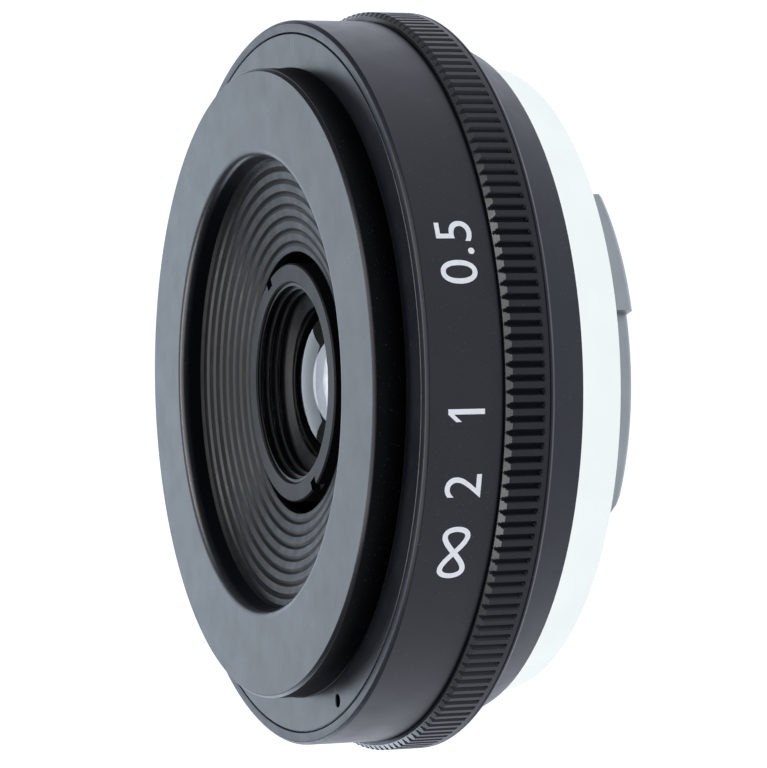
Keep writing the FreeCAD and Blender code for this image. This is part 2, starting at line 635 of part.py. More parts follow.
def make_index_dot():
    """The painted dot that shows how the lens goes onto the camera."""
    dot = document.addObject("Part::Cylinder", "index_dot")
    dot.Label = "index_dot"
    bind(dot, "Radius", "index_radius - 0.02")
    bind(dot, "Height", "index_depth + 0.42")
    dot.Placement.Rotation = FreeCAD.Rotation(FreeCAD.Vector(1, 0, 0), -90)
    bind(dot, "Placement.Base.y", "mount_ring_rear - index_depth")
    bind(dot, "Placement.Base.z", "index_height")
    SUB_PARTS.append(dot)


def make_rear_baffle():
    """The black cup in the bayonet, with a picture window that keeps stray light out."""
    outside = "spigot_bore - baffle_play"
    floor = "spigot_lip_height - spigot_depth"
    body = turned_body("rear_baffle", [
        ("2", floor), (outside, floor), (outside, "housing_bottom"),
        (f"{outside} - baffle_wall", "housing_bottom"),
        (f"{outside} - baffle_wall", f"{floor} + baffle_wall"), ("2", f"{floor} + baffle_wall"),
    ])
    half_wide = "0.5 * window_width"
    half_deep = "0.5 * window_depth"
    window = outline(body, "window_outline", [
        (f"-{half_wide}", f"-{half_deep}"), (half_wide, f"-{half_deep}"),
        (half_wide, half_deep), (f"-{half_wide}", half_deep)], plane="XY_Plane")
    lift(window, floor)
    pocket(body, "window", window, "3", upwards=True)


# ---- fixed body: bearing rings of the cam sleeve ----

def make_bearing_rings():
    turned_body("slip_ring", [
        ("sleeve_bore + 0.1", "housing_ledge"), ("housing_well - 0.2", "housing_ledge"),
        ("housing_well - 0.2", "sleeve_bottom - 0.05"), ("sleeve_bore + 0.1", "sleeve_bottom - 0.05"),
    ])
    turned_body("spring_washer", [
        ("sleeve_bore + 0.1", "sleeve_top + 0.05"), ("sleeve_radius + 0.5", "sleeve_top + 0.05"),
        ("sleeve_radius + 0.5", "guide_flange"), ("sleeve_bore + 0.1", "guide_flange"),
    ])


# ---- focus body ----

def make_focus_ring():
    """The ribbed ring that the hand turns."""
    body = turned_body("focus_ring", [
        ("lip_bore", "lip_bottom"), ("ring_bore", "lip_bottom"), ("ring_bore", "ring_rear"),
        ("knurl_radius - ring_edge", "ring_rear"), ("knurl_radius", "ring_rear + ring_edge"),
        ("knurl_radius", "ring_shoulder"), ("ring_neck", "ring_front"),
        ("tongue_radius", "ring_front"), ("tongue_radius", "tongue_top"),
        ("ring_bore", "tongue_top"), ("ring_bore", "lip_top"), ("lip_bore", "lip_top"),
    ])
    circle = "cam_screw_circle"
    shank = f"{circle} + cam_screw_radius"
    screw_holes(body, "lip_hole", circle, [
        (circle, "lip_bottom + 0.15"), (shank, "lip_bottom + 0.15"), (shank, "lip_top"),
        (circle, "lip_top")], "3")
    mouth = "0.5 * grip_mouth"
    floor = "0.5 * grip_floor"
    groove = outline(body, "grip_outline", [
        ("knurl_radius - grip_depth", f"-{floor}"), ("knurl_radius + 0.2", f"-{mouth}"),
        ("knurl_radius + 0.2", mouth), ("knurl_radius - grip_depth", floor)], plane="XY_Plane")
    lift(groove, "ring_front")
    cut = pocket(body, "grip_groove", groove, "ring_front - knurl_end")
    round_the_axis(body, "grip_grooves", [cut], "grip_count")


def make_cam_sleeve():
    """The sleeve with three helical slots. Each lifts a roller as the focus ring turns."""
    body = turned_body("cam_sleeve", [
        ("sleeve_bore", "sleeve_bottom"), ("sleeve_radius", "sleeve_bottom"),
        ("sleeve_radius", "lip_top"), ("ring_bore", "lip_top"), ("ring_bore", "sleeve_flange_top"),
        ("sleeve_radius", "sleeve_flange_top"), ("sleeve_radius", "sleeve_top"),
        ("sleeve_bore", "sleeve_top"),
    ])
    half = "roller_radius + roller_play"
    profile = outline(body, "cam_outline", [
        ("sleeve_bore - 0.2", f"roller_height - roller_radius - roller_play"),
        ("sleeve_radius + 0.1", f"roller_height - roller_radius - roller_play"),
        ("sleeve_radius + 0.1", f"roller_height + {half}"),
        ("sleeve_bore - 0.2", f"roller_height + {half}")])
    cam = body.newObject("PartDesign::SubtractiveHelix", "cam_slot")
    cam.Profile = profile
    cam.ReferenceAxis = (profile, ["V_Axis"])
    cam.Mode = "height-turns-growth"
    bind(cam, "Height", "focus_travel")
    cam.setExpression("Turns", "Sizes.focus_throw / 360")
    cam.LeftHanded = True
    end_radius = "roller_radius + end_play"
    start = disc(body, "cam_start_outline", "YZ_Plane", "0", "roller_height", end_radius)
    low_end = pocket(body, "cam_start", start, "sleeve_radius + 0.1", upwards=True)
    finish = disc(body, "cam_finish_outline", "XZ_Plane", "0", "roller_height + focus_travel", end_radius)
    high_end = pocket(body, "cam_finish", finish, "sleeve_radius + 0.1", upwards=True)
    round_the_axis(body, "cam_slots", [cam, low_end, high_end], "3")
    circle = "cam_screw_circle"
    shank = f"{circle} + cam_screw_radius"
    screw_holes(body, "flange_hole", circle, [
        (circle, "lip_top"), (shank, "lip_top"), (shank, "sleeve_flange_top"),
        (circle, "sleeve_flange_top")], "3")
    pin_hole = outline(body, "stop_pin_outline", [
        ("stop_circle", "lip_top"), ("stop_circle + stop_pin_radius", "lip_top"),
        ("stop_circle + stop_pin_radius", "sleeve_flange_top"),
        ("stop_circle", "sleeve_flange_top")], axle="stop_circle")
    pin_hole.AttachmentOffset = FreeCAD.Placement(
        FreeCAD.Vector(), FreeCAD.Rotation(FreeCAD.Vector(0, 1, 0), amount("stop_pin_angle")))
    bind(pin_hole, "AttachmentOffset.Rotation.Angle", "stop_pin_angle")
    hole = turned(body, "stop_pin_hole", pin_hole, "Groove", own_axle=True)
    body.Tip = hole


def make_focus_stop_pin():
    """The pin that meets the ends of the arc groove at infinity and at the nearest distance."""
    pin = document.addObject("Part::Cylinder", "focus_stop_pin")
    pin.Label = "focus_stop_pin"
    bind(pin, "Radius", "stop_pin_radius")
    bind(pin, "Height", "sleeve_flange_top - stop_pin_bottom")
    pin.setExpression("Placement.Base.x", "Sizes.stop_circle * cos(Sizes.stop_pin_angle * 1deg)")
    pin.setExpression("Placement.Base.y", "Sizes.stop_circle * sin(Sizes.stop_pin_angle * 1deg)")
    bind(pin, "Placement.Base.z", "stop_pin_bottom")
    SUB_PARTS.append(pin)


# ---- optical unit ----

def make_optic_carriage():
    """Two tubes joined by a web: the outer one slides, the inner one holds the glass."""
    body = turned_body("optic_carriage", [
        ("carriage_radius - carriage_wall", "carriage_bottom"), ("carriage_radius", "carriage_bottom"),
        ("carriage_radius", "carriage_top"), ("core_radius", "carriage_top"),
        ("core_radius", "core_top"), ("core_bore", "core_top"), ("core_bore", "core_lip_top"),
        ("core_lip_bore", "core_lip_top"), ("core_lip_bore", "core_lip_bottom"),
        ("core_bore", "core_lip_bottom"), ("core_bore", "core_bottom"), ("core_radius", "core_bottom"),
        ("core_radius", "carriage_top - carriage_web"),
        ("carriage_radius - carriage_wall", "carriage_top - carriage_web"),
    ])
    seat = disc(body, "pin_seat_outline", "YZ_Plane", "0", "roller_height", "pin_radius")
    lift(seat, "carriage_radius - carriage_wall - 0.5")
    cut = pocket(body, "pin_seat", seat, "2.5", upwards=True)
    round_the_axis(body, "pin_seats", [cut], "3")


def radial_ring(body, name, inner, outer, start, finish):
    """A washer-shaped solid round a radial line at the rollers' height."""
    sketch = new_sketch(body, name + "_outline", "YZ_Plane")
    centre = FreeCAD.Vector(0, amount("roller_height"), 0)
    for radius in filter(None, (outer, inner)):
        circle = sketch.addGeometry(Part.Circle(centre, FreeCAD.Vector(0, 0, 1), amount(radius)), False)
        sketch.addConstraint(Sketcher.Constraint("PointOnObject", circle, 3, -2))
        hold(sketch, "DistanceY", (-1, 1, circle, 3), "roller_height")
        hold(sketch, "Radius", (circle,), radius)
    lift(sketch, start)
    pad = body.newObject("PartDesign::Pad", name)
    pad.Profile = sketch
    bind(pad, "Length", span(finish, start))
    return pad


def make_followers():
    """Three pins through the carriage wall, each with a roller for the two slots."""
    pins = new_body("follower_pins")
    shank = radial_ring(pins, "pin_shank", None, "pin_radius", "carriage_radius - carriage_wall",
                        "sleeve_radius - 0.25")
    head = radial_ring(pins, "pin_head", None, "pin_radius + 0.3", "sleeve_radius - 0.25", "sleeve_radius")
    round_the_axis(pins, "pin_ring", [shank, head], "3")
    rollers = new_body("follower_rollers")
    roller = radial_ring(rollers, "roller", "pin_radius", "roller_radius", "carriage_radius + 0.02",
                         "sleeve_radius - 0.27")
    round_the_axis(rollers, "roller_ring", [roller], "3")


def make_front_cell():
    """The bright-rimmed cell in the middle of the front, with two spanner notches."""
    body = turned_body("front_cell", [
        ("core_radius", "carriage_top"), ("cell_radius", "carriage_top"),
        ("cell_radius", "cell_face - cell_edge"), ("cell_radius - cell_edge", "cell_face"),
        ("cell_bore + cell_edge", "cell_face"), ("cell_bore", "cell_face - cell_edge"),
        ("cell_bore", "cell_floor"), ("core_radius", "cell_floor"),
    ])
    half = "0.5 * notch_width"
    notch = outline(body, "cell_notch_outline", [
        ("cell_radius - 0.85", f"-{half}"), ("cell_radius + 0.3", f"-{half}"),
        ("cell_radius + 0.3", half), ("cell_radius - 0.85", half)], plane="XY_Plane")
    lift(notch, "cell_face")
    cut = pocket(body, "cell_notch", notch, "notch_depth")
    round_the_axis(body, "cell_notches", [cut], "2")
    face_about_z(body, "notch_angle")


def make_stepped_hood():
    """The black hood inside the cell: three steps and a cone down to the front element."""
    step_count = 3
    corners = [
        ("hood_throat", "cell_floor + 0.19"), ("core_bore - 0.04", "cell_floor - 0.33"),
        ("core_bore - 0.04", "cell_floor"), ("cell_bore", "cell_floor"), ("cell_bore", "hood_top"),
        ("hood_mouth", "hood_top"),
    ]
    for place in range(step_count):
        radius = f"hood_mouth - {place} * hood_run"
        top = f"hood_top - {place} * hood_step"
        corners.append((radius, f"{top} - 0.22"))
        corners.append((f"{radius} + 0.18", f"{top} - 0.32"))
        corners.append((f"{radius} + 0.18", f"{top} - 0.6"))
        corners.append((f"{radius} - hood_run", f"{top} - hood_step"))
    corners.append(("hood_throat", "cell_floor + 0.4"))
    turned_body("stepped_hood", corners)


def ball_surface(name, curve, centre):
    """A ball whose skin is one surface of a lens element."""
    ball = document.addObject("Part::Sphere", name)
    bind(ball, "Radius", curve)
    bind(ball, "Placement.Base.z", centre)
    return ball


def make_element(label, bottom, top, keep=None, remove=None):
    """A lens element: a disc kept inside one ball and cut by another."""
    disc_solid = document.addObject("Part::Cylinder", label + "_blank")
    bind(disc_solid, "Radius", "glass_radius")
    bind(disc_solid, "Height", span(top, bottom))
    bind(disc_solid, "Placement.Base.z", bottom)
    element = disc_solid
    if keep:
        common = document.addObject("Part::Common", label + "_convex")
        common.Base = element
        common.Tool = keep
        element = common
    if remove:
        hollow = document.addObject("Part::Cut", label + "_hollow")
        hollow.Base = element
        hollow.Tool = remove
        element = hollow
    element.Label = label
    SUB_PARTS.append(element)


def make_glass():
    """Four elements: two in front of the aperture plate, a cemented pair behind it."""
    apex = "front_edge_top + front_outer_rise"
    hollow = "front_edge_bottom + front_inner_rise"
    make_element("front_element", "front_edge_bottom", apex,
                 keep=ball_surface("front_outer", "front_outer_curve", f"{apex} - front_outer_curve"),
                 remove=ball_surface("front_inner", "front_inner_curve", f"{hollow} - front_inner_curve"))
    apex = "second_edge_top + second_rise"
    make_element("second_element", "second_bottom", apex,
                 keep=ball_surface("second_outer", "second_curve", f"{apex} - second_curve"))
    dip = "third_top - third_dip"
    make_element("third_element", "third_bottom", "third_top",
                 remove=ball_surface("third_inner", "third_curve", f"{dip} + third_curve"))
    apex = "fourth_bottom - fourth_rise"
    make_element("fourth_element", apex, "third_bottom",
                 keep=ball_surface("fourth_outer", "fourth_curve", f"{apex} + fourth_curve"))


def make_glass_rings():
    """The spacer, the aperture plate and the ring that holds the rear group."""
    turned_body("front_spacer", [
        ("spacer_bore", "second_edge_top + 0.45"), ("glass_radius", "second_edge_top + 0.45"),
        ("glass_radius", "front_edge_bottom"), ("spacer_bore", "front_edge_bottom"),
    ])
    turned_body("aperture_plate", [
        ("stop_hole", "core_lip_top"), ("glass_radius", "core_lip_top"),
        ("glass_radius", "stop_top"), ("stop_hole", "stop_top"),
    ])
    body = turned_body("rear_retainer", [
        ("retainer_bore", "retainer_bottom"), ("core_bore", "retainer_bottom"),
        ("core_bore", "fourth_bottom - 0.34"), ("retainer_bore", "fourth_bottom - 0.34"),
    ])
    notch = outline(body, "rear_notch_outline", [
        ("retainer_bore - 0.4", "-0.45"), ("retainer_bore + 0.7", "-0.45"),
        ("retainer_bore + 0.7", "0.45"), ("retainer_bore - 0.4", "0.45")], plane="XY_Plane")
    lift(notch, "retainer_bottom")
    cut = pocket(body, "rear_notch", notch, "0.5", upwards=True)
    round_the_axis(body, "rear_notches", [cut], "2")


# ---- screws ----

def make_screws():
    screw_set("barrel_screws", "web_screw_circle", "web_screw_radius", "web_screw_head",
              "guide_flange + 0.2", "web_top - web_screw_radius", "web_top", "3")
    screw_set("cam_screws", "cam_screw_circle", "cam_screw_radius", "cam_screw_head",
              "lip_bottom + 0.2", "sleeve_flange_top", "sleeve_flange_top + cam_screw_cap", "3",
              countersunk=False)
    screw_set("mount_screws", "mount_screw_circle", "mount_screw_radius", "mount_screw_head",
              "housing_bottom + 3", "mount_screw_radius", "mount_screw_sink", "4")
    screw_set("guide_screws", "0.5 * guide_bore + 0.5 * guide_radius", "guide_screw_radius",
              "guide_screw_head", "guide_bottom + 2.2", "housing_bottom + 0.5", "housing_bottom", "3")


def check_and_write():
    """Stops on any failed object, then writes each sub-part to its own file."""
    document.recompute()
    for thing in document.Objects:
        if "Invalid" in thing.State or "Error" in thing.State:
            raise RuntimeError(f"{thing.Label} failed: {thing.State}")
        if thing.TypeId in ("PartDesign::Pocket", "PartDesign::Groove", "PartDesign::SubtractiveHelix"):
            before = thing.BaseFeature.Shape.Volume
            if thing.Shape.Volume > before - 1e-4:
                raise RuntimeError(f"{thing.Label} cuts nothing")
    os.makedirs("parts", exist_ok=True)
    for sub_part in SUB_PARTS:
        shape = sub_part.Shape
        if shape.isNull() or not shape.isValid() or not shape.Solids:
            raise RuntimeError(f"{sub_part.Label} has no valid solid")
        shape.exportStep(os.path.join("parts", sub_part.Label + ".step"))
        print(f"{sub_part.Label:18s} solids {len(shape.Solids)}  volume {shape.Volume:9.2f} mm3")


make_front_bezel()
make_baffle_cone()
make_baffle_retainer()
make_front_barrel()
make_guide_tube()
make_rear_housing()
make_bayonet()
make_flange_shim()
make_mount_ring()
make_index_dot()
make_rear_baffle()
make_bearing_rings()
make_focus_ring()
make_cam_sleeve()
make_focus_stop_pin()
make_optic_carriage()
make_followers()
make_front_cell()
make_stepped_hood()
make_glass()
make_glass_rings()
make_screws()
check_and_write()
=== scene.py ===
import bmesh
import bpy
import json
import math
from mathutils import Matrix, Vector

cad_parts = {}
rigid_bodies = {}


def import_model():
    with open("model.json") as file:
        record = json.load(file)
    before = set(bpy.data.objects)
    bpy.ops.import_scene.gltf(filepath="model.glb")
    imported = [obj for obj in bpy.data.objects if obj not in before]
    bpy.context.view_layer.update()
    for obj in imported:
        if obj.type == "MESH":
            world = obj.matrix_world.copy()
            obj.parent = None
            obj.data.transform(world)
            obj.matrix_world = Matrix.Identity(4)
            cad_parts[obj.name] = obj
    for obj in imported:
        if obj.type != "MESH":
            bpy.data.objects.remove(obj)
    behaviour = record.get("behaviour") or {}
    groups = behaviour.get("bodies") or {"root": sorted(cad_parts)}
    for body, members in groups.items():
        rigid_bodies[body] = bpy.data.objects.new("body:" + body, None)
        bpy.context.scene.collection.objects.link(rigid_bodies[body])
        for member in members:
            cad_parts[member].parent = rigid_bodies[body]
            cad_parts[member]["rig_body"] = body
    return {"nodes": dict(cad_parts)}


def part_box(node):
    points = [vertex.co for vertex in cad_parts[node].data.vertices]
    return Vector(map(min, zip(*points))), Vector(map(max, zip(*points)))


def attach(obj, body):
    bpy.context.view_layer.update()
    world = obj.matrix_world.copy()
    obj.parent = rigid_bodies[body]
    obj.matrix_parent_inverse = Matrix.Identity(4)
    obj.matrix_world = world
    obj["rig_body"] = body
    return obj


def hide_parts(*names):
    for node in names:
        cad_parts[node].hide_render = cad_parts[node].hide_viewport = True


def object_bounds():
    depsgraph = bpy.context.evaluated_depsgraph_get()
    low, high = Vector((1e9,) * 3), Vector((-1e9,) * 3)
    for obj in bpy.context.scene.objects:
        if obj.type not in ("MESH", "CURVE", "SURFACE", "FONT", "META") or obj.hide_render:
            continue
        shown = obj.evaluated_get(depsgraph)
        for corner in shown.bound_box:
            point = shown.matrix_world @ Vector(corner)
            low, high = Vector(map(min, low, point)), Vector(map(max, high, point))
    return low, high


# A slim prime lens on a pale table, standing on its bayonet with the front up.
# Lengths are millimetres, and angles degrees, unless a name says otherwise.

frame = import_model()
cad_low, cad_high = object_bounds()

MM = 0.001
NODES = frame["nodes"]


def high(node):
    """The highest corner of a CAD node, in millimetres."""
    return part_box(node)[1] / MM


def low(node):
    """The lowest corner of a CAD node, in millimetres."""
    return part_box(node)[0] / MM


# ---- sizes taken from the frame ----

FRONT = high("front_bezel").z
BEZEL_BOTTOM = low("front_bezel").z
SEAM = high("front_bezel").x
BARREL = high("front_barrel").x
STEP = high("front_barrel").z
BARREL_REAR = low("front_barrel").z
GRIP = high("focus_ring").x
RING_REAR = low("focus_ring").z
TONGUE_TOP = high("focus_ring").z
CONE_RIM = high("baffle_cone").x
CONE_SEAT = high("baffle_cone").z

# ---- sizes of details that the frame's boxes don't show ----

RAISED_RADIUS = 28.2
FILTER_RADIUS = 20.25
MOUTH_ROUNDING = 0.87
COUNTERBORE = 21.05
SEAM_GAP = 0.06
SEAM_ROUNDING = 0.12
RIM_EDGE = 0.26
RIM_ROUNDING = 0.1
WALL_REACH = 0.13
SPANNER_CIRCLE = 29.96
SPANNER_ANGLES = (-158.9, 21.1)
SPANNER_RADIUS = 0.56
SPANNER_DEPTH = 1.1
SPANNER_BREAK = 0.09
WEB_TOP = 18.2
WEB_BOTTOM = 17.0
WEB_BORE = 19.4
WEB_SCREW_CIRCLE = 22.4
WEB_SCREW_ANGLES = (0, 120, 240)
WEB_SCREW_HOLE = ((0.7, WEB_BOTTOM - 0.1), (0.7, WEB_TOP - 0.7), (1.5, WEB_TOP + 0.1))
BARREL_WALL = 0.75
BARREL_EDGE = 0.27
CONE_HOLE = 11.8
CONE_LIP = 19.0
CONE_RISE = 0.2216
CONE_FIRST_GROOVE = 12.55
CONE_PITCH = 1.11
CONE_GROOVES = 7
CONE_GROOVE_WIDTH = 0.5
CONE_GROOVE_DEPTH = 0.12
CONE_GROOVE_ROUNDING = 0.04
CONE_WALL = 0.75
CONE_RIM_HEIGHT = 1.1
CONE_RIM_INSET = 0.9
CONE_STEP = 0.25
GROOVE_COUNT = 183
RING_FRONT = 13.04
RING_SHOULDER = 12.58
RING_NECK = 32.88
RING_STEP = 12.9
RING_STEP_RADIUS = 32.62
RING_EDGE = 0.28
RING_LINE = 0.5
RING_LINE_WIDTH = 0.14
RING_LINE_DEPTH = 0.05
CHAMFER_STEPS = 16
CHAMFER_REACH = 0.03
GROOVE_END = 9.62
RUN_OUT_SLOPE = 2.4
RUN_OUT_STEP = 0.04
RUN_OUT_STEPS = 8
RING_BORE = 30.2
TONGUE_RADIUS = 31.35
LIP_BORE = 26.6
LIP_BOTTOM = 11.5
LIP_TOP = 12.6

ARC_STEPS = 4
WIDE_ARC = 0.5
FINE_TURN = 540


# ---- mesh building ----

def add_mesh(name, points, faces):
    """A mesh object from points in millimetres."""
    mesh = bpy.data.meshes.new(name)
    mesh.from_pydata([Vector(point) * MM for point in points], [], faces)
    piece = bpy.data.objects.new(name, mesh)
    bpy.context.scene.collection.objects.link(piece)
    return piece


def shade(piece, sharp_degrees=32):
    """Outward normals, smooth faces, and sharp edges where the surface turns quickly."""
    mesh = bmesh.new()
    mesh.from_mesh(piece.data)
    bmesh.ops.recalc_face_normals(mesh, faces=mesh.faces)
    for face in mesh.faces:
        face.smooth = True
    for edge in mesh.edges:
        edge.smooth = edge.calc_face_angle(0) < math.radians(sharp_degrees)
    mesh.to_mesh(piece.data)
    mesh.free()
    normals = piece.modifiers.new("weighted normals", "WEIGHTED_NORMAL")
    normals.keep_sharp = True


def section(*corners):
    """The outline of a turned piece. A corner is (radius, height) or (radius, height, rounding)."""
    points = []
    for place, corner in enumerate(corners):
        here = Vector(corner[:2])
        if len(corner) < 3:
            points.append(here)
            continue
        back = (Vector(corners[place - 1][:2]) - here).normalized()
        ahead = (Vector(corners[(place + 1) % len(corners)][:2]) - here).normalized()
        half = back.angle(ahead) / 2
        centre = here + (back + ahead).normalized() * corner[2] / math.sin(half)
        first = here + back * corner[2] / math.tan(half) - centre
        last = here + ahead * corner[2] / math.tan(half) - centre
        start = math.atan2(first.y, first.x)
        sweep = math.remainder(math.atan2(last.y, last.x) - start, 2 * math.pi)
        steps = ARC_STEPS * (3 if corner[2] > WIDE_ARC else 1)
        for step in range(steps + 1):
            angle = start + sweep * step / steps
            points.append(centre + Vector((math.cos(angle), math.sin(angle))) * corner[2])
    return points


def ring_of(name, outline, angles, inset=None):
    """A closed ring turned about Z. inset(row, column) moves a point towards the axis."""
    count = len(angles)
    points = []
    for row, spot in enumerate(outline):
        for column, angle in enumerate(angles):
            radius = spot[0] - (inset(row, column) if inset else 0.0)
            points.append((radius * math.cos(angle), radius * math.sin(angle), spot[1]))
    faces = []
    for row in range(len(outline)):
        after = (row + 1) % len(outline)
        for column in range(count):
            beside = (column + 1) % count
            faces.append((row * count + column, row * count + beside,
                          after * count + beside, after * count + column))
    return add_mesh(name, points, faces)


def turned(name, outline):
    """A plain turned ring with evenly spaced columns."""
    angles = [2 * math.pi * column / FINE_TURN for column in range(FINE_TURN)]
    return ring_of(name, outline, angles)


def pin_shape(name, profile, across, degrees, sides=48):
    """A solid turned about its own upright axis, used to cut a hole."""
    points = []
    centre = Vector((across * math.cos(math.radians(degrees)), across * math.sin(math.radians(degrees))))
    for radius, height in profile:
        for side in range(sides):
            angle = 2 * math.pi * side / sides
            points.append((centre.x + radius * math.cos(angle), centre.y + radius * math.sin(angle), height))
    faces = [tuple(range(sides)), tuple(range(len(points) - sides, len(points)))]
    for row in range(len(profile) - 1):
        for side in range(sides):
            beside = (side + 1) % sides
            faces.append((row * sides + side, row * sides + beside,
                          (row + 1) * sides + beside, (row + 1) * sides + side))
    cutter = add_mesh(name, points, faces)
    mesh = bmesh.new()
    mesh.from_mesh(cutter.data)
    bmesh.ops.recalc_face_normals(mesh, faces=mesh.faces)
    mesh.to_mesh(cutter.data)
    mesh.free()
    return cutter


def carve(piece, cutters):
    """Cuts each cutter out of the piece and removes it."""
    for cutter in cutters:
        cut = piece.modifiers.new("cut", "BOOLEAN")
        cut.operation = "DIFFERENCE"
        cut.solver = "EXACT"
        cut.object = cutter
    graph = bpy.context.evaluated_depsgraph_get()
    carved = bpy.data.meshes.new_from_object(piece.evaluated_get(graph))
    piece.modifiers.clear()
    piece.data = carved
    for cutter in cutters:
        bpy.data.objects.remove(cutter)


# ---- materials ----

class Surface:
    """A material with a Principled shader and short ways to add detail to it."""

    def __init__(self, name, **values):
        self.material = bpy.data.materials.new(name)
        self.material.use_nodes = True
        self.tree = self.material.node_tree
        self.shader = self.tree.nodes["Principled BSDF"]
        for socket, value in values.items():
            self.shader.inputs[socket.replace("_", " ")].default_value = value
        self.place = self.tree.nodes.new("ShaderNodeTexCoord").outputs["Object"]

    def node(self, kind, **settings):
        made = self.tree.nodes.new(kind)
        for name, value in settings.items():
            setattr(made, name, value)
        return made

    def link(self, out, into):
        self.tree.links.new(out, into)

    def noise(self, size_mm, detail=3.0, roughness=0.55):
        """Values round 0.5 with features of this size."""
        made = self.node("ShaderNodeTexNoise")
        made.inputs["Scale"].default_value = 1 / (size_mm * MM)
        made.inputs["Detail"].default_value = detail
        made.inputs["Roughness"].default_value = roughness
        self.link(self.place, made.inputs["Vector"])
        return made.outputs["Fac"]

    def lathe_lines(self, size_mm, slant=1.0):
        """Fine rings round Z, such as a lathe leaves on faces and on barrels."""
        split = self.node("ShaderNodeSeparateXYZ")
        self.link(self.place, split.inputs[0])
        flat = self.node("ShaderNodeCombineXYZ")
        self.link(split.outputs["X"], flat.inputs["X"])
        self.link(split.outputs["Y"], flat.inputs["Y"])
        radius = self.node("ShaderNodeVectorMath", operation="LENGTH")
        self.link(flat.outputs[0], radius.inputs[0])
        total = self.node("ShaderNodeMath", operation="MULTIPLY_ADD")
        self.link(split.outputs["Z"], total.inputs[0])
        total.inputs[1].default_value = slant
        self.link(radius.outputs["Value"], total.inputs[2])
        made = self.node("ShaderNodeTexNoise", noise_dimensions="1D")
        made.inputs["Scale"].default_value = 1 / (size_mm * MM)
        made.inputs["Detail"].default_value = 3.0
        self.link(total.outputs[0], made.inputs["W"])
        return made.outputs["Fac"]

    def spread(self, value, low_out, high_out, low_in=0.3, high_in=0.7):
        """Maps a value to a range."""
        made = self.node("ShaderNodeMapRange")
        self.link(value, made.inputs["Value"])
        for socket, number in zip(("From Min", "From Max", "To Min", "To Max"),
                                  (low_in, high_in, low_out, high_out)):
            made.inputs[socket].default_value = number
        return made.outputs["Result"]

    def blend(self, factor, first, second):
        """A colour between two others, each a colour or a socket."""
        made = self.node("ShaderNodeMix", data_type="RGBA")
        self.link(factor, made.inputs["Factor"])
        for socket, colour in (("A", first), ("B", second)):
            into = next(s for s in made.inputs if s.name == socket and s.type == "RGBA")
            if isinstance(colour, tuple):
                into.default_value = (*colour, 1.0)
            else:
                self.link(colour, into)
        return next(s for s in made.outputs if s.type == "RGBA")

    def colour(self, socket):
        self.link(socket, self.shader.inputs["Base Color"])

    def rough(self, socket):
        self.link(socket, self.shader.inputs["Roughness"])

    def bump(self, *layers):
        """Height layers, each (value, strength, depth in mm)."""
        last = None
        for value, strength, depth in layers:
            made = self.node("ShaderNodeBump")
            made.inputs["Strength"].default_value = strength
            made.inputs["Distance"].default_value = depth * MM
            self.link(value, made.inputs["Height"])
            if last:
                self.link(last, made.inputs["Normal"])
            last = made.outputs["Normal"]
        self.link(last, self.shader.inputs["Normal"])


def anodised(name, dark, light, gloss, grain=0.09, turning=0.0, specular=0.5, cut=0.35):
    """Satin black anodised metal: fine blasted grain, faint cloudiness and tiny bright specks."""
    surface = Surface(name, Specular_IOR_Level=specular)
    clouds = surface.noise(9.0, detail=4.0)
    tone = surface.blend(surface.spread(clouds, 0.0, 1.0), dark, light)
    specks = surface.spread(surface.noise(0.14, detail=1.0), 0.0, 0.5, 0.70, 0.82)
    surface.colour(surface.blend(specks, tone, (0.16, 0.165, 0.175)))
    surface.rough(surface.spread(surface.noise(2.4, detail=5.0), gloss - 0.03, gloss + 0.04))
    layers = [(surface.noise(grain, detail=2.0), cut, 0.004)]
    if turning:
        layers.append((surface.lathe_lines(0.12), turning, 0.003))
    surface.bump(*layers)
    return surface.material


def matt_black(name, tone, gloss):
    """Dull black paint with a powdery surface."""
    surface = Surface(name, Specular_IOR_Level=0.18)
    dust = surface.spread(surface.noise(0.3, detail=4.0), 0.0, 1.0)
    surface.colour(surface.blend(dust, tone, tuple(1.6 * part for part in tone)))
    surface.rough(surface.spread(surface.noise(1.1), gloss - 0.06, gloss + 0.06))
    surface.bump((surface.noise(0.06, detail=2.0), 0.4, 0.006), (surface.lathe_lines(0.2), 0.2, 0.004))
    return surface.material


def satin_metal(name, dark, light, gloss, line=0.1, cut=0.3):
    """Machined or plated metal with turned lines."""
    surface = Surface(name, Metallic=1.0)
    lines = surface.lathe_lines(line)
    clouds = surface.noise(6.0, detail=5.0)
    surface.colour(surface.blend(surface.spread(clouds, 0.0, 1.0), dark, light))
    surface.rough(surface.spread(lines, gloss - 0.05, gloss + 0.06))
    surface.bump((lines, cut, 0.003), (surface.noise(0.05, detail=2.0), 0.2, 0.002))
    return surface.material


def coated_glass(name, mirror, tint):
    """Optical glass. The coating sets how much of the light it mirrors, and the tint how much passes
    through.
    """
    surface = Surface(name, Base_Color=(*tint, 1.0), Transmission_Weight=1.0, IOR=1.5,
                      Specular_IOR_Level=mirror)
    surface.rough(surface.spread(surface.noise(1.5, detail=4.0), 0.0, 0.012, 0.4, 0.75))
    surface.bump((surface.noise(0.4, detail=1.0), 0.02, 0.0005))
    clear = surface.node("ShaderNodeBsdfTransparent")
    choice = surface.node("ShaderNodeMixShader")
    surface.link(surface.node("ShaderNodeNewGeometry").outputs["Backfacing"], choice.inputs["Fac"])
    surface.link(surface.shader.outputs["BSDF"], choice.inputs[1])
    surface.link(clear.outputs["BSDF"], choice.inputs[2])
    surface.link(choice.outputs["Shader"], surface.tree.nodes["Material Output"].inputs["Surface"])
    return surface.material


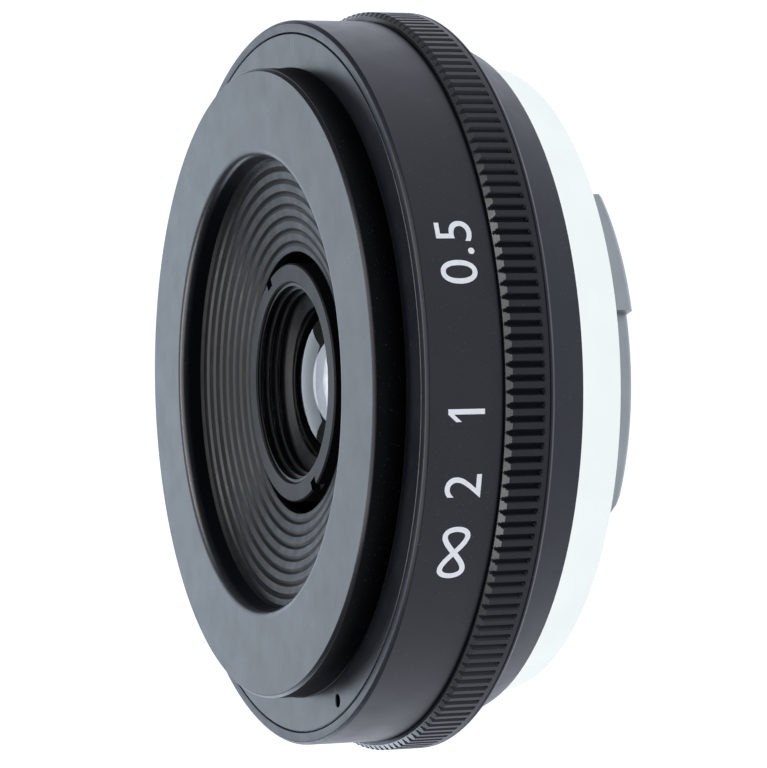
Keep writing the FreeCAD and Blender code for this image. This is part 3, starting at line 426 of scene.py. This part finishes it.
def plastic(name, dark, light, gloss):
    """Plain moulded plastic."""
    surface = Surface(name)
    surface.colour(surface.blend(surface.spread(surface.noise(1.5), 0.0, 1.0), dark, light))
    surface.rough(surface.spread(surface.noise(0.6), gloss - 0.05, gloss + 0.05))
    surface.bump((surface.noise(0.1), 0.2, 0.004))
    return surface.material


def paint(name, dark, light):
    """Thick opaque marking paint with a slightly uneven edge and film, and a faint bluish glow that
    brightens it: painted light.
    """
    surface = Surface(name, Emission_Color=(0.9, 0.95, 1.0, 1.0), Emission_Strength=0.14)
    surface.colour(surface.blend(surface.spread(surface.noise(0.5, detail=4.0), 0.0, 1.0), dark, light))
    surface.rough(surface.spread(surface.noise(0.3), 0.42, 0.58))
    surface.bump((surface.noise(0.12, detail=3.0), 0.3, 0.006))
    return surface.material


def table_top():
    """White table lit from below, so that nothing on it throws a strong shadow."""
    surface = Surface("table_top", Base_Color=(0.04, 0.04, 0.04, 1.0), Emission_Color=(1.0, 1.05, 1.18, 1.0),
                      Emission_Strength=1.0, Specular_IOR_Level=0.1)
    surface.rough(surface.spread(surface.noise(40.0), 0.75, 0.85))
    return surface.material


BEZEL_BLACK = anodised("bezel_black", (0.004, 0.005, 0.0078), (0.0062, 0.0075, 0.0112), 0.3, specular=0.38)
# Painted shade: a far darker, barely shiny black for the raised rim's outer wall, standing in for the shadow
# that falls there.
WALL_PAINTED_SHADE = anodised("wall_painted_shade", (0.001, 0.0011, 0.0016), (0.0016, 0.0018, 0.0026), 0.32, specular=0.06)
BARREL_BLACK = anodised("barrel_black", (0.0065, 0.0075, 0.013), (0.009, 0.0105, 0.017), 0.36, specular=0.36)
# A glossier copy of the grip black for the ring's front chamfer, which faces the lights. The higher gloss is
# a surface property; its lighter tone is painted sheen.
CHAMFER_SHEEN_BLACK = anodised("chamfer_sheen_black", (0.02, 0.022, 0.026), (0.028, 0.031, 0.036), 0.27, specular=1.0,
                     cut=0.12)
GRIP_BLACK = anodised("grip_black", (0.005, 0.0063, 0.011), (0.0075, 0.009, 0.0145), 0.36, specular=0.3)
REAR_BLACK = anodised("rear_black", (0.006, 0.0075, 0.0125), (0.0085, 0.0105, 0.0165), 0.36, specular=0.24)
CELL_BLACK = anodised("cell_black", (0.006, 0.0062, 0.0075), (0.01, 0.0102, 0.012), 0.36, turning=0.25,
                      specular=0.09)
INNER_BLACK = matt_black("inner_black", (0.004, 0.0043, 0.0052), 0.36)
MOUNT_SILVER = satin_metal("mount_silver", (0.85, 0.865, 0.78), (0.89, 0.9, 0.81), 0.38, cut=0.12)
BAYONET_GREY = satin_metal("bayonet_grey", (0.27, 0.29, 0.285), (0.32, 0.34, 0.335), 0.4, cut=0.15)
SLEEVE_ALLOY = satin_metal("sleeve_alloy", (0.5, 0.5, 0.51), (0.62, 0.62, 0.63), 0.35)
SCREW_STEEL = satin_metal("screw_steel", (0.32, 0.32, 0.33), (0.42, 0.42, 0.43), 0.28, line=0.05)
ROLLER_BRASS = satin_metal("roller_brass", (0.55, 0.38, 0.14), (0.68, 0.49, 0.2), 0.3, line=0.05)
SLIP_PLASTIC = plastic("slip_plastic", (0.68, 0.67, 0.62), (0.78, 0.77, 0.73), 0.45)
FRONT_GLASS = coated_glass("front_glass", 0.5, (1.0, 1.0, 1.0))
# Painted shade: the inner elements pass only about 0.6 of the light, in grey, which dims the view through
# the lens.
SHADED_INNER_GLASS = coated_glass("shaded_inner_glass", 0.04, (0.58, 0.6, 0.61))
# The white paint glows faintly: painted light.
GLOWING_WHITE_PAINT = paint("glowing_white_paint", (0.78, 0.79, 0.8), (0.88, 0.89, 0.9))

CAD_FINISHES = {
    BEZEL_BLACK: ("front_bezel",),
    BARREL_BLACK: ("front_barrel",),
    GRIP_BLACK: ("focus_ring",),
    REAR_BLACK: ("rear_housing",),
    CELL_BLACK: ("front_cell",),
    INNER_BLACK: ("baffle_cone", "baffle_retainer", "stepped_hood", "rear_baffle", "aperture_plate",
                  "front_spacer", "rear_retainer", "optic_carriage", "guide_tube"),
    MOUNT_SILVER: ("mount_ring",),
    BAYONET_GREY: ("bayonet",),
    SLEEVE_ALLOY: ("cam_sleeve", "flange_shim", "spring_washer"),
    SCREW_STEEL: ("barrel_screws", "cam_screws", "mount_screws", "guide_screws", "focus_stop_pin",
                  "follower_pins"),
    ROLLER_BRASS: ("follower_rollers",),
    SLIP_PLASTIC: ("slip_ring",),
    FRONT_GLASS: ("front_element",),
    SHADED_INNER_GLASS: ("second_element", "third_element", "fourth_element"),
    GLOWING_WHITE_PAINT: ("index_dot",),
}
for finish, names in CAD_FINISHES.items():
    for node in names:
        NODES[node].material_slots[0].material = finish


def stand_in(piece, node, finish):
    """The piece takes a CAD node's place, on the same body."""
    piece.data.materials.clear()
    piece.data.materials.append(finish)
    shade(piece)
    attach(piece, NODES[node]["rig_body"])
    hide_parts(node)


def second_material(piece, finish, chosen):
    """Gives another material to the faces whose radius and height are chosen, and returns them."""
    piece.data.materials.append(finish)
    found = []
    for face in piece.data.polygons:
        centre = face.center / MM
        if chosen(centre.xy.length, centre.z):
            face.material_index = 1
            found.append(face)
    return found


# ---- pieces ----

def bezel_shell():
    """The flat front ring with its raised rim, rounded mouth and two spanner holes."""
    outline = section(
        (COUNTERBORE, BEZEL_BOTTOM), (SEAM, BEZEL_BOTTOM), (SEAM, STEP, SEAM_ROUNDING),
        (RAISED_RADIUS, STEP, RIM_ROUNDING), (RAISED_RADIUS, FRONT - RIM_EDGE, RIM_ROUNDING),
        (RAISED_RADIUS - RIM_EDGE, FRONT, RIM_ROUNDING), (FILTER_RADIUS, FRONT, MOUTH_ROUNDING),
        (FILTER_RADIUS, CONE_SEAT), (COUNTERBORE, CONE_SEAT))
    piece = turned("bezel_shell", outline)
    holes = [pin_shape("hole", [(SPANNER_RADIUS, STEP - SPANNER_DEPTH), (SPANNER_RADIUS, STEP - 0.07),
                                (SPANNER_RADIUS + SPANNER_BREAK, STEP + 0.02)], SPANNER_CIRCLE, angle)
             for angle in SPANNER_ANGLES]
    carve(piece, holes)
    stand_in(piece, "front_bezel", BEZEL_BLACK)
    # The raised rim's outer wall takes the far darker black: painted shade.
    second_material(piece, WALL_PAINTED_SHADE, lambda radius, height: abs(radius - RAISED_RADIUS) < WALL_REACH
                  and STEP - 0.02 < height < FRONT - 0.3)


def ringed_cone():
    """The shallow cone round the glass, with concentric grooves."""
    corners = [(CONE_HOLE, CONE_LIP, 0.06)]
    for place in range(CONE_GROOVES):
        radius = CONE_FIRST_GROOVE + place * CONE_PITCH
        height = CONE_LIP + CONE_RISE * (radius - CONE_HOLE)
        half, drop = CONE_GROOVE_WIDTH / 2, CONE_GROOVE_WIDTH / 2 * CONE_RISE
        corners.append((radius - half, height - drop, CONE_GROOVE_ROUNDING))
        corners.append((radius, height - CONE_GROOVE_DEPTH))
        corners.append((radius + half, height + drop, CONE_GROOVE_ROUNDING))
    corners += [(FILTER_RADIUS - CONE_STEP, CONE_SEAT - CONE_STEP), (FILTER_RADIUS, CONE_SEAT),
                (CONE_RIM, CONE_SEAT), (CONE_RIM, CONE_SEAT - CONE_RIM_HEIGHT),
                (FILTER_RADIUS - CONE_RIM_INSET, CONE_SEAT - CONE_RIM_HEIGHT),
                (CONE_HOLE, CONE_LIP - CONE_WALL, 0.05)]
    stand_in(turned("ringed_cone", section(*corners)), "baffle_cone", INNER_BLACK)


def barrel_shell():
    """The smooth barrel with its inner web, screwed to the guide tube."""
    inner = BARREL - BARREL_WALL
    seam = SEAM + SEAM_GAP
    outline = section(
        (WEB_BORE, WEB_BOTTOM), (inner, WEB_BOTTOM), (inner, BARREL_REAR, 0.06), (BARREL, BARREL_REAR, 0.08),
        (BARREL, STEP - BARREL_EDGE, SEAM_ROUNDING), (BARREL - BARREL_EDGE, STEP, SEAM_ROUNDING),
        (seam, STEP, SEAM_ROUNDING), (seam, WEB_TOP), (WEB_BORE, WEB_TOP))
    piece = turned("barrel_shell", outline)
    holes = [pin_shape("hole", WEB_SCREW_HOLE, WEB_SCREW_CIRCLE, angle) for angle in WEB_SCREW_ANGLES]
    carve(piece, holes)
    stand_in(piece, "front_barrel", BARREL_BLACK)


# Across one grip groove: distance from its centre line and depth there.
GROOVE_SHAPE = ((-0.34, 0.0), (-0.29, 0.04), (-0.18, 0.20), (-0.07, 0.39), (0.0, 0.44), (0.07, 0.39),
                (0.18, 0.20), (0.29, 0.04), (0.34, 0.0))


def grip_ring():
    """The focus ring. Its V grooves run out at the rear and through the front chamfer."""
    pitch = 2 * math.pi / GROOVE_COUNT
    angles, depths = [], []
    for groove in range(GROOVE_COUNT):
        for across, depth in ((-0.5 * pitch * GRIP, 0.0), *GROOVE_SHAPE):
            angles.append(pitch * groove + across / GRIP)
            depths.append(depth)
    run_out = [(GRIP, GROOVE_END + RUN_OUT_STEP * step) for step in range(RUN_OUT_STEPS)]
    chamfer = [(GRIP + (RING_NECK - GRIP) * step / CHAMFER_STEPS,
                RING_SHOULDER + (RING_FRONT - RING_SHOULDER) * step / CHAMFER_STEPS)
               for step in range(CHAMFER_STEPS + 1)]
    line, half_line = RING_REAR + RING_LINE, RING_LINE_WIDTH / 2
    before = section((RING_BORE, RING_REAR), (GRIP - RING_EDGE, RING_REAR, 0.06),
                     (GRIP, RING_REAR + RING_EDGE, 0.1), (GRIP, line - half_line),
                     (GRIP - RING_LINE_DEPTH, line), (GRIP, line + half_line), (GRIP, GROOVE_END))[:-1]
    after = [(RING_STEP_RADIUS, RING_FRONT), (RING_STEP_RADIUS, RING_STEP), (TONGUE_RADIUS, RING_STEP),
             (TONGUE_RADIUS, TONGUE_TOP), (RING_BORE, TONGUE_TOP), (RING_BORE, LIP_TOP),
             (LIP_BORE, LIP_TOP), (LIP_BORE, LIP_BOTTOM), (RING_BORE, LIP_BOTTOM)]
    outline = [*before, *run_out, *chamfer, *after]
    cut_rows = range(len(before), len(before) + len(run_out) + len(chamfer))

    def inset(row, column):
        if row not in cut_rows:
            return 0.0
        radius, height = outline[row]
        depth = min(depths[column], RUN_OUT_SLOPE * (height - GROOVE_END))
        return max(0.0, depth - (GRIP - radius))

    piece = ring_of("grip_ring", outline, angles, inset)
    stand_in(piece, "focus_ring", GRIP_BLACK)
    # The front chamfer takes the lighter, glossier black. Its lighter tone is painted sheen.
    sheen_faces = second_material(
        piece, CHAMFER_SHEEN_BLACK, lambda radius, height: height > RING_SHOULDER
        and abs(radius + height - GRIP - RING_SHOULDER) < CHAMFER_REACH)
    for face in sheen_faces:
        face.use_smooth = False


# ---- distance scale ----

SCALE_START = -117.0
SCALE_BASE = 14.75
FIGURE_HEIGHT = 3.3
FIGURE_SPACING = 1.06
FONT_CAP = 0.7
PAINT_THICKNESS = 0.02
SLICE = 0.35


def wrap(piece, centre_degrees, radius):
    """Bends a flat drawing (x across, y up, z outwards, in mm) round the barrel."""
    for vertex in piece.data.vertices:
        across, up, out = vertex.co
        angle = math.radians(centre_degrees) + across / radius
        distance = radius + out
        vertex.co = Vector((distance * math.cos(angle), distance * math.sin(angle), up)) * MM


def sliced(mesh_data):
    """Cuts a flat drawing into narrow strips, so that it bends evenly."""
    mesh = bmesh.new()
    mesh.from_mesh(mesh_data)
    left = min(vertex.co.x for vertex in mesh.verts)
    right = max(vertex.co.x for vertex in mesh.verts)
    for step in range(1, int((right - left) / SLICE) + 1):
        everything = mesh.verts[:] + mesh.edges[:] + mesh.faces[:]
        bmesh.ops.bisect_plane(mesh, geom=everything, plane_co=(left + step * SLICE, 0, 0),
                               plane_no=(1, 0, 0))
    mesh.to_mesh(mesh_data)
    mesh.free()


def figure(name, text, degrees, bottom):
    """Painted figures on the barrel, centred on an angle."""
    curve = bpy.data.curves.new(name, "FONT")
    curve.body = text
    curve.size = FIGURE_HEIGHT / FONT_CAP
    curve.align_x = "CENTER"
    curve.extrude = PAINT_THICKNESS / 2
    curve.space_character = FIGURE_SPACING
    drawing = bpy.data.objects.new(name, curve)
    bpy.context.scene.collection.objects.link(drawing)
    graph = bpy.context.evaluated_depsgraph_get()
    mesh = bpy.data.meshes.new_from_object(drawing.evaluated_get(graph))
    bpy.data.objects.remove(drawing)
    sliced(mesh)
    piece = bpy.data.objects.new(name, mesh)
    bpy.context.scene.collection.objects.link(piece)
    for vertex in mesh.vertices:
        vertex.co.y += bottom
    wrap(piece, degrees, BARREL)
    painted(piece, "housing")


def painted(piece, body):
    """White paint, on the body that carries it."""
    piece.data.materials.clear()
    piece.data.materials.append(GLOWING_WHITE_PAINT)
    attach(piece, body)


def put_on_barrel(piece, degrees, cut_in_strips=False):
    """Wraps a sign made by add_mesh round the barrel and paints it."""
    for vertex in piece.data.vertices:
        vertex.co /= MM
    if cut_in_strips:
        sliced(piece.data)
    wrap(piece, degrees, BARREL)
    painted(piece, "housing")


def endless_sign(degrees, bottom):
    """The infinity sign, a band of even width along a figure of eight."""
    steps, half_width, long, tall = 96, 0.235, 2.2, 1.02
    inner, outer = [], []
    for step in range(steps):
        turn = 2 * math.pi * step / steps
        spot = Vector((long * math.cos(turn), tall * math.sin(2 * turn)))
        along = Vector((-long * math.sin(turn), 2 * tall * math.cos(2 * turn))).normalized()
        side = Vector((-along.y, along.x)) * half_width
        inner.append(spot - side)
        outer.append(spot + side)
    middle = bottom + FIGURE_HEIGHT / 2
    points = []
    for out in (-PAINT_THICKNESS / 2, PAINT_THICKNESS / 2):
        for line in (inner, outer):
            points += [(spot.x, middle + spot.y, out) for spot in line]
    faces = []
    for first, second in ((0, 1), (1, 3), (3, 2), (2, 0)):
        for step in range(steps):
            beside = (step + 1) % steps
            faces.append((first * steps + step, first * steps + beside,
                          second * steps + beside, second * steps + step))
    piece = add_mesh("scale_infinity", points, faces)
    put_on_barrel(piece, degrees)


def figure_one(degrees, bottom):
    """The figure 1, a bar with a slanted flag."""
    half_bar, reach, drop, stroke = 0.225, 0.85, 0.72, 0.52
    top = FIGURE_HEIGHT
    drawn = [(half_bar, 0), (half_bar, top), (-half_bar, top), (-reach, top - drop),
             (-reach, top - drop - stroke), (-half_bar, top - stroke), (-half_bar, 0)]
    count = len(drawn)
    points = [(across, bottom + up, out) for out in (-PAINT_THICKNESS / 2, PAINT_THICKNESS / 2)
              for across, up in drawn]
    faces = [tuple(range(count)), tuple(range(count, 2 * count))]
    for side in range(count):
        beside = (side + 1) % count
        faces.append((side, beside, count + beside, count + side))
    piece = add_mesh("scale_1", points, faces)
    put_on_barrel(piece, degrees, cut_in_strips=True)


FOCAL_LENGTH = 22.0
TRAVEL = 2.1
THROW = 90.0
LENS_TO_SENSOR = 24.0


def scale_angle(distance_m):
    """Where the barrel shows a distance, from the lift that it needs."""
    lift = FOCAL_LENGTH ** 2 / (distance_m / MM - LENS_TO_SENSOR - FOCAL_LENGTH)
    return SCALE_START + THROW * lift / TRAVEL


bezel_shell()
ringed_cone()
barrel_shell()
grip_ring()
endless_sign(SCALE_START, SCALE_BASE)
figure_one(scale_angle(1.0), SCALE_BASE)
for text in ("2", "0.5"):
    figure("scale_" + text, text, scale_angle(float(text)), SCALE_BASE)


# ---- table, light and camera ----

TABLE_HALF_M = 3.0


def table():
    """A wide flat table under the lens."""
    size, lowest = TABLE_HALF_M, cad_low.z
    mesh = bpy.data.meshes.new("table")
    mesh.from_pydata([(-size, -size, lowest), (size, -size, lowest), (size, size, lowest),
                      (-size, size, lowest)], [], [(0, 1, 2, 3)])
    floor = bpy.data.objects.new("table", mesh)
    bpy.context.scene.collection.objects.link(floor)
    floor.data.materials.append(table_top())


def softbox(name, azimuth, elevation, distance, wide, tall, brightness, tint=(1.0, 1.0, 1.0)):
    """A rectangular soft light that faces the lens, its distance and size in metres.

    Azimuth 0 is the -Y side, and 90 the +X side.
    """
    across, up = math.radians(azimuth), math.radians(elevation)
    towards = Vector((math.sin(across) * math.cos(up), -math.cos(across) * math.cos(up), math.sin(up)))
    light = bpy.data.lights.new(name, "AREA")
    light.shape = "RECTANGLE"
    light.size = wide
    light.size_y = tall
    light.energy = brightness * math.pi * wide * tall
    light.color = tint
    lamp = bpy.data.objects.new(name, light)
    bpy.context.scene.collection.objects.link(lamp)
    lamp.location = AIM + towards * distance
    lamp.rotation_mode = "QUATERNION"
    lamp.rotation_quaternion = (-towards).to_track_quat("-Z", "Y")


BLUE_TINT = (0.77, 0.88, 1.0)


def world(brightness):
    """An even dim light from everywhere."""
    sky = bpy.data.worlds.new("studio")
    sky.use_nodes = True
    sky.node_tree.nodes["Background"].inputs["Color"].default_value = (0.97, 0.985, 1.0, 1.0)
    sky.node_tree.nodes["Background"].inputs["Strength"].default_value = brightness
    bpy.context.scene.world = sky


CAMERA_ELEVATION = 22.116
CAMERA_HEADING = -0.507
CAMERA_ROLL = -91.07
CAMERA_DISTANCE_M = 0.363335
CAMERA_LENS = 187.5
AIM = Vector((-0.272, 0.0, 10.628)) * MM


def camera():
    """A long lens that looks at the front from the -Y side, rolled on its side."""
    lens = bpy.data.cameras.new("camera")
    lens.lens = CAMERA_LENS
    lens.sensor_width = 36.0
    lens.clip_start = 0.01
    holder = bpy.data.objects.new("camera", lens)
    bpy.context.scene.collection.objects.link(holder)
    turn = (Matrix.Rotation(math.radians(CAMERA_HEADING), 4, "Z")
            @ Matrix.Rotation(math.radians(90 - CAMERA_ELEVATION), 4, "X")
            @ Matrix.Rotation(math.radians(CAMERA_ROLL), 4, "Z"))
    back = (turn @ Vector((0, 0, 1, 0))).to_3d()
    holder.matrix_world = Matrix.Translation(AIM + back * CAMERA_DISTANCE_M) @ turn
    bpy.context.scene.camera = holder


table()
world(0.1)
softbox("overhead", 180, 86, 0.6, 0.9, 0.62, 3.4)
softbox("key_strip", 180, 74, 0.6, 0.75, 0.06, 15.0)
softbox("back_panel", 180, 18, 0.9, 0.45, 0.65, 2.1, BLUE_TINT)
softbox("side_panel", 222, 6, 0.7, 0.42, 0.2, 3.0, BLUE_TINT)
camera()
bpy.context.scene.view_settings.view_transform = "Standard"
